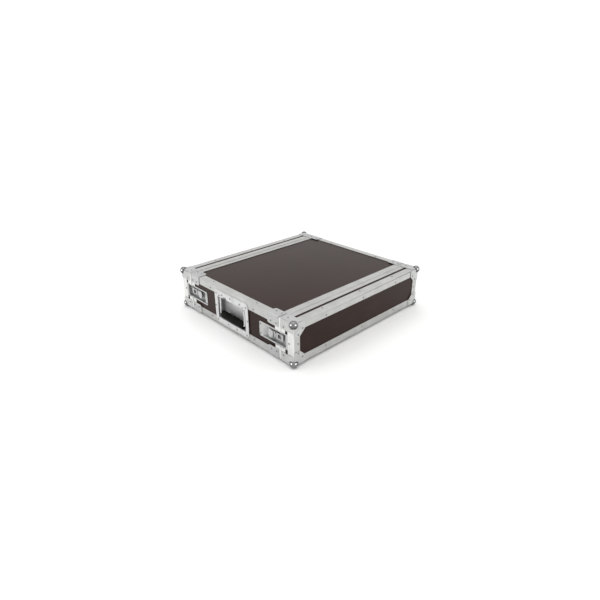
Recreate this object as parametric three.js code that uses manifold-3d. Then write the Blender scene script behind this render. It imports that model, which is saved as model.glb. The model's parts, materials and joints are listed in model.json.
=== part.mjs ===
// A two-unit, 19-inch flight case for rack effects: a plywood body that is open at both ends, two lids
// that pull straight off, recessed butterfly latches and sprung carrying handles.
// Millimetres. +X is the case's right side, +Y its rear, +Z up; the origin is on the floor, under its centre.
import * as THREE from "three";
import { mergeVertices } from "three/addons/utils/BufferGeometryUtils.js";
import Module from "manifold-3d";

const wasm = await Module();
wasm.setup();

// ---------------------------------------------------------------- driving dimensions
const RACK_WIDTH = 482.6; // front panel of 19-inch equipment
const RACK_UNIT = 44.45;
const UNITS = 2;
const SIDE_PLAY = 2.2; // each side of the front panel
const HEIGHT_PLAY = 2.05; // above and below the units
const BODY_DEPTH = 386; // from one parting plane to the other
const LID_DEPTH = 50.2; // from the parting plane to the lid's outer face
const BOARD = 9; // plywood
const SKIN = 1.5; // wall of the aluminium extrusions
const FIT = 0.3; // gap between pieces that are glued, riveted or resting on each other
const EDGE_LEG = 21; // leg of the plain edge angle
const EDGE_ROUND = 3; // its rounded outer corner

// closing extrusions, which meet at the parting plane
const BODY_LEG = 15.2;
const LID_LEG = 20.7;
const INNER_LEG = 12;
const CLOSING_WEB = 1.8;
const TONGUE = { thick: 3, depth: 5, inset: 3.5, play: 0.5 };
const BEAD = { wide: 6, high: 1.2 }; // raised lip on the lid's side of the parting plane

// stamped steel at the corners
const PLATE = 1.2; // sheet of petals, braces and dishes
const PETAL = { top: 28.6, side: 25.8, face: 36.8, faceCut: 16.3, slit: 1.2, clearOfParting: 7 };
const BRACE = { length: 39.5, clearOfParting: 2.5, top: 28.3, side: 26.6, round: 7.5 };
const BALL = { radius: 10.65, inset: 4.15, collarRadius: 14, collarHigh: 1, buried: 5 };

// butterfly latch; v runs from the parting plane towards the lid, so the body's half has v below zero
const LATCH = { halfHeight: 21, bodyLength: 76.5, cornerCut: 3 };
const LATCH_POCKET = { halfHeight: 17, bodyLength: 68, lidLength: 22, slope: 15 };
const ROTOR = { v: -29, radius: 10, thick: 1.8, axle: 2, crank: 4.5, crankPin: 1.5 };
const HOOK = { thick: 1.5, halfWidth: 8.5, tail: -46, step: -17, nose: 8 };
const HOOK_WINDOW = { from: -11, to: 2, halfWidth: 5.5 };
const WING = { radius: 16.3, halfWidth: 11.5, thick: 1.6, neck: 7.6, barrel: 1.2, pin: 0.6, lug: 1.6 };
const KEEPER_LIP = { v: 3, wide: 2.5, high: 2.2, halfWidth: 10 };

// carrying handle
const HANDLE = { halfLength: 73.5, halfHeight: 49.5, cornerRound: 12 };
const HANDLE_POCKET = { halfLength: 61, depth: 20 };
const HANDLE_LIP = 30; // lower edge of the flange where it covers the pivot pin
const HANDLE_BOSS = { from: -13, to: 27, low: 36, high: 47, proud: 1 };
const PIVOT = { n: -1.2, z: 30, pin: 2.2, play: 0.3 };
const GRIP = { n: -2.6, z: -23, deep: 15, tall: 19, halfLength: 50, round: 5, rod: 2.7, rodForward: 2.4 };
const ARM = { halfWidth: 4, thick: 5.5, sideGap: 1.2 };
const SPRING = { coil: 3.6, wire: 0.7, turns: 5, pitch: 2.2, y: 22, leg: 9, play: 2 };

// rack rail, to the 19-inch hole pattern
const RAIL = { setback: 20, thick: 2, faceWidth: 18.2, sideDepth: 38, square: 9.5, pitch: 465.1 };
const HOLES_IN_A_UNIT = [6.35, 22.225, 38.1];

// ---------------------------------------------------------------- sizes that follow from them
const INNER_X = RACK_WIDTH / 2 + SIDE_PLAY;
const INNER_Z = (UNITS * RACK_UNIT) / 2 + HEIGHT_PLAY;
const BOARD_X = INNER_X + BOARD; // outer faces of the boards
const BOARD_Z = INNER_Z + BOARD;
const SKIN_TOP = FIT + SKIN; // outer face of the extrusions, above the boards
const OUT_X = BOARD_X + SKIN_TOP;
const OUT_Z = BOARD_Z + SKIN_TOP;
const PARTING = BODY_DEPTH / 2;
const OUT_Y = PARTING + LID_DEPTH;
const MID_Z = OUT_Z - BALL.inset + BALL.radius; // the balls stand on the floor
const HANDLE_HALF_Z = OUT_Z - EDGE_LEG - PLATE - FIT; // the pocket fits between the edge angles
const PLATE_UNDER = SKIN_TOP + FIT; // stamped plates lie on the extrusions
const PLATE_TOP = PLATE_UNDER + PLATE;
const WING_DEPTH = WING.thick + (3 * WING.barrel) / 4; // from the wing's face to the back of its barrel
const LATCH_DEPTH = HOOK.thick + ROTOR.thick + WING_DEPTH + 4 * FIT; // hook, rotor and wing, one on another
const LATCH_FLOOR = -LATCH_DEPTH;
const INSIDE = -(BOARD + FIT); // outer face of what lies on the boards' inner side
const ROUND_STEPS = 3;
const OVER = 1; // how far a cutter or a joint runs past the face it works on

// ---------------------------------------------------------------- solids
function toSolid(geometry) {
  const bare = new THREE.BufferGeometry().setAttribute("position", geometry.getAttribute("position"));
  if (geometry.index) bare.setIndex(geometry.index);
  const merged = mergeVertices(bare, 1e-4);
  return new wasm.Manifold(
    new wasm.Mesh({
      numProp: 3,
      vertProperties: merged.attributes.position.array,
      triVerts: new Uint32Array(merged.index.array),
    }),
  );
}

function toGeometry(solid) {
  const made = solid.getMesh();
  const indexed = new THREE.BufferGeometry();
  indexed.setAttribute("position", new THREE.BufferAttribute(made.vertProperties, 3));
  indexed.setIndex(new THREE.BufferAttribute(made.triVerts, 1));
  const flat = indexed.toNonIndexed();
  flat.computeVertexNormals();
  return flat;
}

function join(...solids) {
  return solids.reduce((whole, next) => whole.add(next));
}

function cut(solid, ...cutters) {
  return cutters.reduce((whole, next) => whole.subtract(next), solid);
}

function block([x0, x1], [y0, y1], [z0, z1]) {
  const geometry = new THREE.BoxGeometry(x1 - x0, y1 - y0, z1 - z0);
  geometry.translate((x0 + x1) / 2, (y0 + y1) / 2, (z0 + z1) / 2);
  return toSolid(geometry);
}

const AXES = {
  x: [new THREE.Vector3(0, 1, 0), new THREE.Vector3(0, 0, 1), new THREE.Vector3(1, 0, 0)],
  y: [new THREE.Vector3(1, 0, 0), new THREE.Vector3(0, 0, 1), new THREE.Vector3(0, -1, 0)],
  z: [new THREE.Vector3(1, 0, 0), new THREE.Vector3(0, 1, 0), new THREE.Vector3(0, 0, 1)],
};

// Extrudes an outline along an axis. The outline is drawn in (y, z) for x, in (x, z) for y, in (x, y) for z.
function extrude(shape, axis, from, to, curveSegments = ROUND_STEPS) {
  const geometry = new THREE.ExtrudeGeometry(shape, { depth: to - from, bevelEnabled: false, curveSegments });
  geometry.applyMatrix4(new THREE.Matrix4().makeBasis(...AXES[axis]));
  const start = axis === "y" ? to : from;
  geometry.translate(axis === "x" ? start : 0, axis === "y" ? start : 0, axis === "z" ? start : 0);
  return toSolid(geometry);
}

function outline(points) {
  return new THREE.Shape(points.map(([a, b]) => new THREE.Vector2(a, b)));
}

function traceRoundedRectangle(path, halfWidth, halfHeight, round) {
  const corners = [[1, 1, 0], [-1, 1, 0.5], [-1, -1, 1], [1, -1, 1.5]];
  path.moveTo(halfWidth, halfHeight - round);
  for (const [a, b, turn] of corners) {
    const start = turn * Math.PI;
    path.absarc(a * (halfWidth - round), b * (halfHeight - round), round, start, start + Math.PI / 2, false);
  }
  return path;
}

function roundedRectangle(halfWidth, halfHeight, round) {
  return traceRoundedRectangle(new THREE.Shape(), halfWidth, halfHeight, round);
}

function rod(axis, radius, from, to, [a, b], sides = 16) {
  const shape = new THREE.Shape().absarc(a, b, radius, 0, 2 * Math.PI, false);
  return extrude(shape, axis, from, to, sides);
}

// A rectangular frame round the case: n is the height above the boards' outer faces.
function ring([inner, outer], [y0, y1], round = 0) {
  const [x, z] = [BOARD_X + outer, BOARD_Z + outer];
  const plain = block([-x, x], [y0, y1], [-z, z]);
  const whole = round ? extrude(roundedRectangle(x, z, round), "y", y0, y1) : plain;
  const [hx, hz] = [BOARD_X + inner, BOARD_Z + inner];
  return cut(whole, block([-hx, hx], [y0 - OVER, y1 + OVER], [-hz, hz]));
}

// A mirrored copy, with its faces turned round again so that they point outwards.
function mirrored(solid, sx, sy, sz) {
  const geometry = toGeometry(solid).scale(sx, sy, sz);
  if (sx * sy * sz < 0) {
    const position = geometry.getAttribute("position");
    for (let i = 0; i < position.count; i += 3) {
      const [a, b] = [i + 1, i + 2].map((k) => new THREE.Vector3().fromBufferAttribute(position, k));
      position.setXYZ(i + 1, b.x, b.y, b.z);
      position.setXYZ(i + 2, a.x, a.y, a.z);
    }
  }
  return toSolid(geometry);
}

// ---------------------------------------------------------------- materials
const FINISHES = {
  board: { color: 0x3a302e, roughness: 0.45, metalness: 0 },
  aluminium: { color: 0xc9cac8, roughness: 0.4, metalness: 0.9 },
  zinc: { color: 0xd2d3d4, roughness: 0.3, metalness: 1 },
  chrome: { color: 0xe4e5e6, roughness: 0.12, metalness: 1 },
  spring: { color: 0x8f9294, roughness: 0.35, metalness: 1 },
  rubber: { color: 0x24251f, roughness: 0.8, metalness: 0 },
  rail: { color: 0x2b2c2e, roughness: 0.55, metalness: 0.3 },
};
const materials = Object.fromEntries(
  Object.entries(FINISHES).map(([name, values]) => [name, new THREE.MeshStandardMaterial(values)]),
);

const rackCase = new THREE.Group();
rackCase.position.z = MID_Z;

function place(name, solid, finish, group = rackCase) {
  const mesh = new THREE.Mesh(toGeometry(solid), materials[finish]);
  mesh.name = name;
  group.add(mesh);
}

// A group that holds mirror copies of what is drawn for the right side, the rear end and the top.
function mirrorGroup(sx, sy, sz = 1) {
  const group = new THREE.Group();
  group.scale.set(sx, sy, sz);
  rackCase.add(group);
  return group;
}

const SIDES = [["left", -1], ["right", 1]];
const ENDS = [["front", -1], ["rear", 1]];
const LEVELS = [["bottom", -1], ["top", 1]];
const CORNERS = SIDES.flatMap(([, sx]) => LEVELS.map(([, sz]) => [sx, sz]));

// ---------------------------------------------------------------- cut-outs that the fittings need
const atX = (n) => BOARD_X + n;
const atV = (v) => PARTING + v;

function latchBoardCut(from, to) {
  const half = LATCH_POCKET.halfHeight + PLATE + FIT;
  return block([INNER_X - OVER, BOARD_X + OVER], [atV(from), atV(to)], [-half, half]);
}

// The closing extrusions keep their inner leg behind a latch, so each frame stays in one piece.
function latchFrameCut() {
  const depth = LATCH_DEPTH + PLATE + FIT;
  const half = LATCH.halfHeight + FIT;
  const y = [atV(-BODY_LEG - OVER), atV(LID_LEG + OVER)];
  return block([atX(-depth), OUT_X + OVER + BEAD.high], y, [-half, half]);
}

const bothSides = (solid) => join(solid, mirrored(solid, -1, 1, 1));

// ---------------------------------------------------------------- body: boards and edge angles
const boardEnd = PARTING - CLOSING_WEB - FIT;

for (const [level, sz] of LEVELS) {
  const board = block([-BOARD_X, BOARD_X], [-boardEnd, boardEnd], [INNER_Z, BOARD_Z]);
  place(`${level}_panel`, mirrored(board, 1, 1, sz), "board");
}

function sidePanel() {
  const half = INNER_Z - FIT;
  const board = block([INNER_X, BOARD_X], [-boardEnd, boardEnd], [-half, half]);
  const latchHole = latchBoardCut(-LATCH_POCKET.bodyLength - PLATE - FIT, OVER);
  const gap = PLATE + FIT;
  const handleHole = block(
    [INNER_X - OVER, BOARD_X + OVER],
    [-HANDLE_POCKET.halfLength - gap, HANDLE_POCKET.halfLength + gap],
    [-HANDLE_HALF_Z - gap, HANDLE_HALF_Z + gap],
  );
  return cut(board, latchHole, mirrored(latchHole, 1, -1, 1), handleHole);
}

for (const [side, sx] of SIDES) place(`${side}_panel`, mirrored(sidePanel(), sx, 1, 1), "board");

// An L-section with a rounded outer corner, drawn in (x, z) for the upper right edge.
function angleSection(leg) {
  const shape = new THREE.Shape();
  shape.moveTo(OUT_X - leg, OUT_Z);
  shape.lineTo(OUT_X - leg, BOARD_Z + FIT);
  shape.lineTo(BOARD_X + FIT, BOARD_Z + FIT);
  shape.lineTo(BOARD_X + FIT, OUT_Z - leg);
  shape.lineTo(OUT_X, OUT_Z - leg);
  shape.absarc(OUT_X - EDGE_ROUND, OUT_Z - EDGE_ROUND, EDGE_ROUND, 0, Math.PI / 2, false);
  return shape;
}

const edgeEnd = PARTING - BODY_LEG - FIT;
for (const [level, sz] of LEVELS) {
  for (const [side, sx] of SIDES) {
    const angle = extrude(angleSection(EDGE_LEG), "y", -edgeEnd, edgeEnd);
    place(`edge_angle_${level}_${side}`, mirrored(angle, sx, 1, sz), "aluminium");
  }
}

// ---------------------------------------------------------------- body: closing frames with corner braces
// One plate of a brace: across is measured from the case's edge, and along from the parting plane's side.
function braceOutline(edge, width, far, near, flip) {
  const r = BRACE.round;
  const shape = new THREE.Shape();
  const at = (across, along) => (flip ? [along, across] : [across, along]);
  shape.moveTo(...at(edge, near));
  shape.lineTo(...at(edge - width, near));
  shape.lineTo(...at(edge - width, far + r));
  shape.quadraticCurveTo(...at(edge - width, far), ...at(edge - width + r, far));
  shape.lineTo(...at(edge, far));
  return shape;
}

function cornerBrace() {
  const near = PARTING - BRACE.clearOfParting;
  const far = near - BRACE.length;
  const topPlan = braceOutline(OUT_X, BRACE.top, far, near, false);
  const sidePlan = braceOutline(OUT_Z, BRACE.side, far, near, true);
  const top = extrude(topPlan, "z", OUT_Z + FIT, OUT_Z + FIT + PLATE, 4);
  const side = extrude(sidePlan, "x", OUT_X + FIT, OUT_X + FIT + PLATE, 4);
  const reach = FIT + PLATE;
  const corner = OUT_X - EDGE_ROUND;
  const cornerZ = OUT_Z - EDGE_ROUND;
  const bend = new THREE.Shape();
  bend.moveTo(corner, OUT_Z + FIT);
  bend.absarc(corner, cornerZ, EDGE_ROUND + FIT, Math.PI / 2, 0, true);
  bend.lineTo(OUT_X + reach, cornerZ);
  bend.absarc(corner, cornerZ, EDGE_ROUND + reach, 0, Math.PI / 2, false);
  const round = extrude(bend, "y", far, near);
  const past = reach + OVER;
  const cornerCut = block([corner, OUT_X + past], [far - OVER, near + OVER], [cornerZ, OUT_Z + past]);
  // pads that carry the plates on the closing extrusion's legs
  const legStart = PARTING - BODY_LEG;
  const topPad = block([OUT_X - BRACE.top, corner], [legStart, near], [OUT_Z - FIT, OUT_Z + reach / 2]);
  const sidePad = block([OUT_X - FIT, OUT_X + reach / 2], [legStart, near], [OUT_Z - BRACE.side, cornerZ]);
  return join(cut(join(top, side), cornerCut), round, topPad, sidePad);
}

function bodyClosingFrame() {
  const end = PARTING;
  const frame = join(
    ring([FIT, SKIN_TOP], [end - BODY_LEG, end], EDGE_ROUND),
    ring([INSIDE - SKIN, SKIN_TOP], [end - CLOSING_WEB, end], EDGE_ROUND),
    ring([INSIDE - SKIN, INSIDE], [end - INNER_LEG, end]),
    ring([-TONGUE.inset - TONGUE.thick, -TONGUE.inset], [end - OVER, end + TONGUE.depth]),
  );
  const brace = cornerBrace();
  const braces = CORNERS.map(([sx, sz]) => mirrored(brace, sx, 1, sz));
  return cut(join(frame, ...braces), bothSides(latchFrameCut()));
}

for (const [end, sy] of ENDS) {
  place(`${end}_closing_frame`, bodyClosingFrame(), "aluminium", mirrorGroup(1, sy));
}

// ---------------------------------------------------------------- rack rails
function rackRail() {
  const front = PARTING - RAIL.setback;
  const outer = Math.min(INNER_X, atX(LATCH_FLOOR - PLATE)) - FIT; // clear of the latch dishes
  const half = INNER_Z - FIT;
  const face = block([outer - RAIL.faceWidth, outer], [front - RAIL.thick, front], [-half, half]);
  const side = block([outer - RAIL.thick, outer], [front - RAIL.sideDepth, front], [-half, half]);
  const x = RAIL.pitch / 2;
  const lowest = (-UNITS * RACK_UNIT) / 2;
  const holes = [];
  for (let unit = 0; unit < UNITS; unit += 1) {
    for (const height of HOLES_IN_A_UNIT) {
      const z = lowest + unit * RACK_UNIT + height;
      const r = RAIL.square / 2;
      holes.push(block([x - r, x + r], [front - RAIL.thick - OVER, front + OVER], [z - r, z + r]));
    }
  }
  return cut(join(face, side), ...holes);
}

for (const [end, sy] of ENDS) {
  for (const [side, sx] of SIDES) place(`${end}_rack_rail_${side}`, rackRail(), "rail", mirrorGroup(sx, sy));
}

// ---------------------------------------------------------------- lids
// Every lid piece is drawn for the rear lid; the front lid is its mirror image.
const ballCentre = [OUT_X, OUT_Y, OUT_Z].map((edge) => edge - BALL.inset);

// A ball at the corner, cut flat where it is let into the boards.
function ballAt(radius, high, play = 0) {
  const geometry = new THREE.SphereGeometry(radius, 18, 12);
  geometry.rotateX(Math.PI / 2);
  geometry.translate(...ballCentre);
  const low = SKIN_TOP + BALL.buried + play;
  const spans = [OUT_X, OUT_Y, OUT_Z].map((edge) => [edge - low, edge + high]);
  return toSolid(geometry).intersect(block(...spans));
}

function withoutBallSeats(solid) {
  const seat = ballAt(BALL.collarRadius + FIT, BALL.radius, FIT);
  return cut(solid, ...CORNERS.map(([sx, sz]) => mirrored(seat, sx, 1, sz)));
}

const lidBoardStart = atV(TONGUE.depth + TONGUE.play + CLOSING_WEB + 2 * FIT);
const lidBoardEnd = OUT_Y - SKIN_TOP;

function lidTray() {
  const face = block([-BOARD_X, BOARD_X], [lidBoardEnd - BOARD, lidBoardEnd], [-BOARD_Z, BOARD_Z]);
  const rim = ring([-BOARD, 0], [lidBoardStart, lidBoardEnd - OVER]);
  const latchHole = latchBoardCut(0, LATCH_POCKET.lidLength + PLATE + FIT);
  return cut(withoutBallSeats(join(face, rim)), bothSides(latchHole));
}

function lidClosingFrame() {
  const start = atV(FIT);
  const groove = [-TONGUE.inset - TONGUE.thick - TONGUE.play, -TONGUE.inset + TONGUE.play];
  const grooveEnd = start + TONGUE.depth + TONGUE.play;
  const frame = join(
    ring([FIT, SKIN_TOP], [start, atV(LID_LEG)], EDGE_ROUND),
    ring([INSIDE - SKIN, SKIN_TOP], [start, grooveEnd + CLOSING_WEB], EDGE_ROUND),
    ring([INSIDE - SKIN, INSIDE], [start, atV(INNER_LEG)]),
    ring([FIT, SKIN_TOP + BEAD.high], [start, start + BEAD.wide], EDGE_ROUND + BEAD.high),
  );
  return cut(frame, ring(groove, [start - OVER, grooveEnd]), bothSides(latchFrameCut()));
}

function lidEdgeFrame() {
  const sideStart = OUT_Y - EDGE_LEG;
  const faceLeg = ring([SKIN_TOP - EDGE_LEG, SKIN_TOP], [OUT_Y - SKIN, OUT_Y], EDGE_ROUND);
  const sideLeg = ring([FIT, SKIN_TOP], [sideStart, OUT_Y], EDGE_ROUND);
  const depthAngle = extrude(angleSection(EDGE_LEG), "y", atV(LID_LEG + FIT), sideStart + OVER);
  const depthAngles = CORNERS.map(([sx, sz]) => mirrored(depthAngle, sx, 1, sz));
  return withoutBallSeats(join(faceLeg, sideLeg, ...depthAngles));
}

// Three petals, one on each face of the corner, joined by a collar round the ball.
function ballCorner() {
  const { top, side, face, faceCut, slit, clearOfParting } = PETAL;
  const start = atV(clearOfParting);
  const petals = [
    block([OUT_X - top, OUT_X - slit], [start, OUT_Y - slit], [OUT_Z + FIT, OUT_Z + FIT + PLATE]),
    block([OUT_X + FIT, OUT_X + FIT + PLATE], [start, OUT_Y - slit], [OUT_Z - side, OUT_Z - slit]),
    extrude(
      outline([
        [OUT_X - slit, OUT_Z - slit],
        [OUT_X - face, OUT_Z - slit],
        [OUT_X - face, OUT_Z - face + faceCut],
        [OUT_X - face + faceCut, OUT_Z - face],
        [OUT_X - slit, OUT_Z - face],
      ]),
      "y",
      OUT_Y + FIT,
      OUT_Y + FIT + PLATE,
    ),
  ];
  const collar = ballAt(BALL.collarRadius, FIT + PLATE + BALL.collarHigh);
  return join(ballAt(BALL.radius, BALL.radius), collar, ...petals);
}

for (const [end, sy] of ENDS) {
  const lid = mirrorGroup(1, sy);
  place(`${end}_lid_tray`, lidTray(), "board", lid);
  place(`${end}_lid_closing_frame`, lidClosingFrame(), "aluminium", lid);
  place(`${end}_lid_edge_frame`, lidEdgeFrame(), "aluminium", lid);
  for (const [level, sz] of LEVELS) {
    for (const [side, sx] of SIDES) {
      place(`ball_corner_${end}_${level}_${side}`, ballCorner(), "chrome", mirrorGroup(sx, sy, sz));
    }
  }
}

// ---------------------------------------------------------------- butterfly latches
// n is the height above the board's outer face; every piece lies between the pocket's floor and the flange.
const hookLow = LATCH_FLOOR + FIT;
const discLow = hookLow + HOOK.thick + FIT;
const discTop = discLow + ROTOR.thick;
const hookHighTop = LATCH_FLOOR + KEEPER_LIP.high + 2 * FIT + HOOK.thick;
const wingTop = -FIT;
const wingAxis = wingTop - WING_DEPTH + WING.barrel;

// A pocket's section along the case, from its floor to above the flange; one end wall may slope.
function pocketSection([from, to], floor, top, slope = 0) {
  return outline([
    [atX(floor), atV(from + slope)],
    [atX(top), atV(from)],
    [atX(top), atV(to)],
    [atX(floor), atV(to)],
  ]);
}

function pressedDish(flangePlan, [from, to], slope) {
  const flange = extrude(flangePlan, "x", atX(FIT), atX(FIT + PLATE));
  const half = LATCH_POCKET.halfHeight;
  const atParting = (v) => Math.abs(v) <= FIT;
  const shellSpan = [atParting(from) ? from : from - PLATE, atParting(to) ? to : to + PLATE];
  const hollowSpan = [atParting(from) ? from - OVER : from, atParting(to) ? to + OVER : to];
  const shellPlan = pocketSection(shellSpan, LATCH_FLOOR - PLATE, FIT + PLATE / 2, slope);
  const shell = extrude(shellPlan, "z", -half - PLATE, half + PLATE);
  const hollowPlan = pocketSection(hollowSpan, LATCH_FLOOR, FIT + PLATE + OVER, slope);
  return cut(join(flange, shell), extrude(hollowPlan, "z", -half, half));
}

function latchDish() {
  const [far, near] = [-LATCH.bodyLength, -FIT];
  const h = LATCH.halfHeight;
  const c = LATCH.cornerCut;
  const flange = outline([
    [atV(near), -h],
    [atV(near), h],
    [atV(far + c), h],
    [atV(far), h - c],
    [atV(far), c - h],
    [atV(far + c), -h],
  ]);
  return pressedDish(flange, [-LATCH_POCKET.bodyLength, near], LATCH_POCKET.slope);
}

function keeperDish() {
  const far = LID_DEPTH - EDGE_LEG - FIT;
  const h = LATCH.halfHeight;
  const flange = outline([[atV(FIT), -h], [atV(far), -h], [atV(far), h], [atV(FIT), h]]);
  const dish = pressedDish(flange, [FIT, LATCH_POCKET.lidLength], 0);
  const lip = block(
    [atX(LATCH_FLOOR - PLATE / 2), atX(LATCH_FLOOR + KEEPER_LIP.high)],
    [atV(KEEPER_LIP.v), atV(KEEPER_LIP.v + KEEPER_LIP.wide)],
    [-KEEPER_LIP.halfWidth, KEEPER_LIP.halfWidth],
  );
  return join(dish, lip);
}

// Disc, axle and crank pin, with two lugs and a pin that carry the wing.
function latchRotor() {
  const centre = [atV(ROTOR.v), 0];
  const crank = [atV(ROTOR.v - ROTOR.crank), 0];
  const lugFrom = WING.neck + FIT;
  const lug = block(
    [atX(discLow), atX(wingTop)],
    [atV(ROTOR.v) - 1.5 * WING.barrel, atV(ROTOR.v) + 1.5 * WING.barrel],
    [lugFrom, lugFrom + WING.lug],
  );
  const pinHalf = lugFrom + WING.lug / 2;
  return join(
    rod("x", ROTOR.radius, atX(discLow), atX(discTop), centre, 24),
    rod("x", ROTOR.axle, atX(LATCH_FLOOR + FIT), atX(discLow + OVER), centre, 12),
    rod("x", ROTOR.crankPin, atX(LATCH_FLOOR + FIT), atX(discLow + OVER), crank, 10),
    lug,
    mirrored(lug, 1, 1, -1),
    rod("z", WING.pin, -pinHalf, pinHalf, [atX(wingAxis), atV(ROTOR.v)], 8),
  );
}

// A thumb plate that lies flat in the pocket and stands up on its barrel.
function latchWing() {
  const neckLength = 2 * WING.barrel + FIT;
  const plan = new THREE.Shape();
  const start = Math.PI - Math.asin(WING.halfWidth / WING.radius);
  const at = (a, b) => [atV(ROTOR.v) + a, b];
  plan.moveTo(...at(0, WING.neck));
  plan.lineTo(...at(-neckLength, WING.neck));
  plan.lineTo(...at(-neckLength, WING.halfWidth));
  plan.absarc(...at(0, 0), WING.radius, start, 2 * Math.PI - start, false);
  plan.lineTo(...at(-neckLength, -WING.halfWidth));
  plan.lineTo(...at(-neckLength, -WING.neck));
  plan.lineTo(...at(0, -WING.neck));
  const plate = extrude(plan, "x", atX(wingTop - WING.thick), atX(wingTop), 10);
  const axis = [atX(wingAxis), atV(ROTOR.v)];
  const barrel = rod("z", WING.barrel, -WING.neck, WING.neck, axis, 10);
  const bore = rod("z", WING.pin + FIT, -WING.neck - OVER, WING.neck + OVER, axis, 8);
  return cut(join(plate, barrel), bore);
}

// The plate slides on the floor, steps up in front of the disc and reaches over the keeper's lip.
function latchHook() {
  const width = [-HOOK.halfWidth, HOOK.halfWidth];
  const travel = 2 * ROTOR.crank;
  const stepEnd = atV(HOOK.step + HOOK.thick);
  const lowHeights = [atX(hookLow), atX(hookLow + HOOK.thick)];
  const highHeights = [atX(hookHighTop - HOOK.thick), atX(hookHighTop)];
  const low = block(lowHeights, [atV(HOOK.tail), stepEnd], width);
  const riser = block([lowHeights[0], highHeights[1]], [atV(HOOK.step), stepEnd], width);
  const high = block(highHeights, [atV(HOOK.step), atV(HOOK.nose)], width);
  const w = HOOK_WINDOW;
  const window = block(
    [highHeights[0] - OVER, highHeights[1] + OVER],
    [atV(w.from), atV(w.to)],
    [-w.halfWidth, w.halfWidth],
  );
  const n = [lowHeights[0] - OVER, lowHeights[1] + FIT / 2];
  const axleSlot = ROTOR.axle + FIT;
  const crankV = ROTOR.v - ROTOR.crank;
  const crankPlay = ROTOR.crankPin + 1.1; // a constant ratio strays this far from a true crank
  const crankReach = ROTOR.crank + ROTOR.crankPin + FIT;
  const along = block(n, [atV(ROTOR.v - travel - axleSlot), atV(ROTOR.v + axleSlot)], [-axleSlot, axleSlot]);
  const across = block(n, [atV(crankV - crankPlay), atV(crankV + crankPlay)], [-crankReach, crankReach]);
  return cut(join(low, riser, high), window, along, across);
}

for (const [end, sy] of ENDS) {
  for (const [side, sx] of SIDES) {
    const latch = mirrorGroup(sx, sy);
    place(`latch_dish_${end}_${side}`, latchDish(), "zinc", latch);
    place(`latch_rotor_${end}_${side}`, latchRotor(), "zinc", latch);
    place(`latch_wing_${end}_${side}`, latchWing(), "zinc", latch);
    place(`latch_hook_${end}_${side}`, latchHook(), "zinc", latch);
    place(`latch_keeper_${end}_${side}`, keeperDish(), "zinc", latch);
  }
}

// ---------------------------------------------------------------- sprung carrying handles
const pivotAt = [atX(PIVOT.n), PIVOT.z];
const rodAt = [atX(GRIP.n + GRIP.rodForward), GRIP.z];
const armInside = GRIP.halfLength + FIT;

function handleDish() {
  const p = HANDLE_POCKET;
  const flange = extrude(
    roundedRectangle(HANDLE.halfLength, HANDLE.halfHeight, HANDLE.cornerRound),
    "x",
    atX(PLATE_UNDER),
    atX(PLATE_TOP),
    5,
  );
  const shell = block(
    [atX(-p.depth - PLATE), atX(PLATE_UNDER + PLATE / 2)],
    [-p.halfLength - PLATE, p.halfLength + PLATE],
    [-HANDLE_HALF_Z - PLATE, HANDLE_HALF_Z + PLATE],
  );
  const boss = block(
    [atX(PLATE_UNDER), atX(PLATE_TOP + HANDLE_BOSS.proud)],
    [HANDLE_BOSS.from, HANDLE_BOSS.to],
    [HANDLE_BOSS.low, HANDLE_BOSS.high],
  );
  const y = [-p.halfLength, p.halfLength];
  const hollow = block([atX(-p.depth), atX(PLATE_UNDER)], y, [-HANDLE_HALF_Z, HANDLE_HALF_Z]);
  const opening = block([atX(-p.depth), atX(PLATE_TOP + OVER)], y, [-HANDLE_HALF_Z, HANDLE_LIP]);
  // slots in the flange's lip, for an arm's eye or for the spring's coils
  const slot = (from, to) => block([atX(-p.depth), atX(PLATE_TOP + OVER)], [from, to], [0, HANDLE_HALF_Z]);
  const armWay = slot(armInside - ARM.sideGap, armInside + ARM.thick + ARM.sideGap);
  const springEnd = SPRING.y + SPRING.turns * SPRING.pitch;
  const springWay = slot(SPRING.y - SPRING.play, springEnd + SPRING.play);
  const reach = p.halfLength + PLATE + OVER;
  const pinHoles = rod("y", PIVOT.pin + PIVOT.play, -reach, reach, pivotAt, 12);
  const ways = [armWay, mirrored(armWay, 1, -1, 1), springWay];
  return cut(join(flange, shell, boss), hollow, opening, ...ways, pinHoles);
}

function handlePin() {
  const reach = HANDLE_POCKET.halfLength + PLATE - FIT;
  return rod("y", PIVOT.pin, -reach, reach, pivotAt, 12);
}

// A strap with round ends, from the pivot to the rod in the grip.
function armPlan() {
  const [px, pz] = pivotAt;
  const [gx, gz] = rodAt;
  const lean = Math.atan2(gz - pz, gx - px);
  const shape = new THREE.Shape();
  shape.absarc(px, pz, ARM.halfWidth, lean + Math.PI / 2, lean + 1.5 * Math.PI, false);
  shape.absarc(gx, gz, ARM.halfWidth, lean - Math.PI / 2, lean + Math.PI / 2, false);
  return shape;
}

function handleBail() {
  const outside = armInside + ARM.thick;
  const arm = extrude(armPlan(), "y", armInside, outside, 8);
  const bore = rod("y", PIVOT.pin + PIVOT.play, armInside - OVER, outside + OVER, pivotAt, 12);
  const drilled = cut(arm, bore);
  const gripRod = rod("y", GRIP.rod, -armInside - OVER, armInside + OVER, rodAt, 12);
  return join(drilled, mirrored(drilled, 1, -1, 1), gripRod);
}

function handleGrip() {
  const section = roundedRectangle(GRIP.deep / 2, GRIP.tall / 2, GRIP.round);
  const bar = extrude(section, "y", -GRIP.halfLength, GRIP.halfLength, 4).translate(atX(GRIP.n), 0, GRIP.z);
  const bore = rod("y", GRIP.rod + FIT, -GRIP.halfLength - OVER, GRIP.halfLength + OVER, rodAt, 12);
  return cut(bar, bore);
}

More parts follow.
